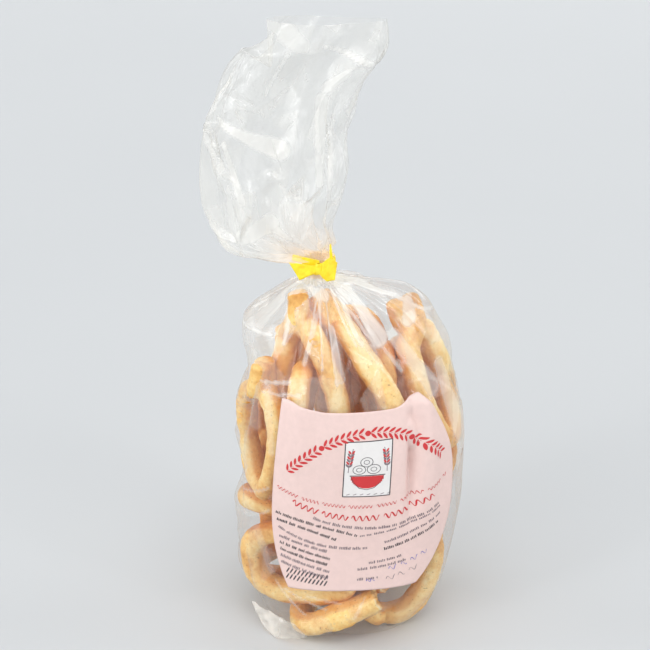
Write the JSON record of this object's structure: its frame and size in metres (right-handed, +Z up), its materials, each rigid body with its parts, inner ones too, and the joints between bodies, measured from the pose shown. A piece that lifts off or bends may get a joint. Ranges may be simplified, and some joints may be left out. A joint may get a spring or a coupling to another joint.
{
  "type": "bag of boiled ring biscuits",
  "caption": "Clear film bag of long boiled and baked ring biscuits, tied at the neck with a yellow tape under a wide flare of film, with a pink paper label on its front.",
  "frame": {"origin": "middle of the flat base that the bag stands on", "axes": "+Z up, -Y towards the front with the label, +X to the right seen from the front"},
  "size_m": [0.1406, 0.1048, 0.3556],
  "materials": {
    "film": "clear crisp film with sharp creases",
    "biscuit": "baked dough, pale gold with browned knobs, matt with a faint sheen",
    "label": "thin pink paper on the film",
    "print_red": "red print on paper",
    "print_dark": "dark print on paper",
    "print_white": "white ground on paper",
    "tape": "yellow flat tape"
  },
  "bodies": {
    "root": {"bag": "film", "label": "label", "tie": "tape"}
  },
  "joints": []
}
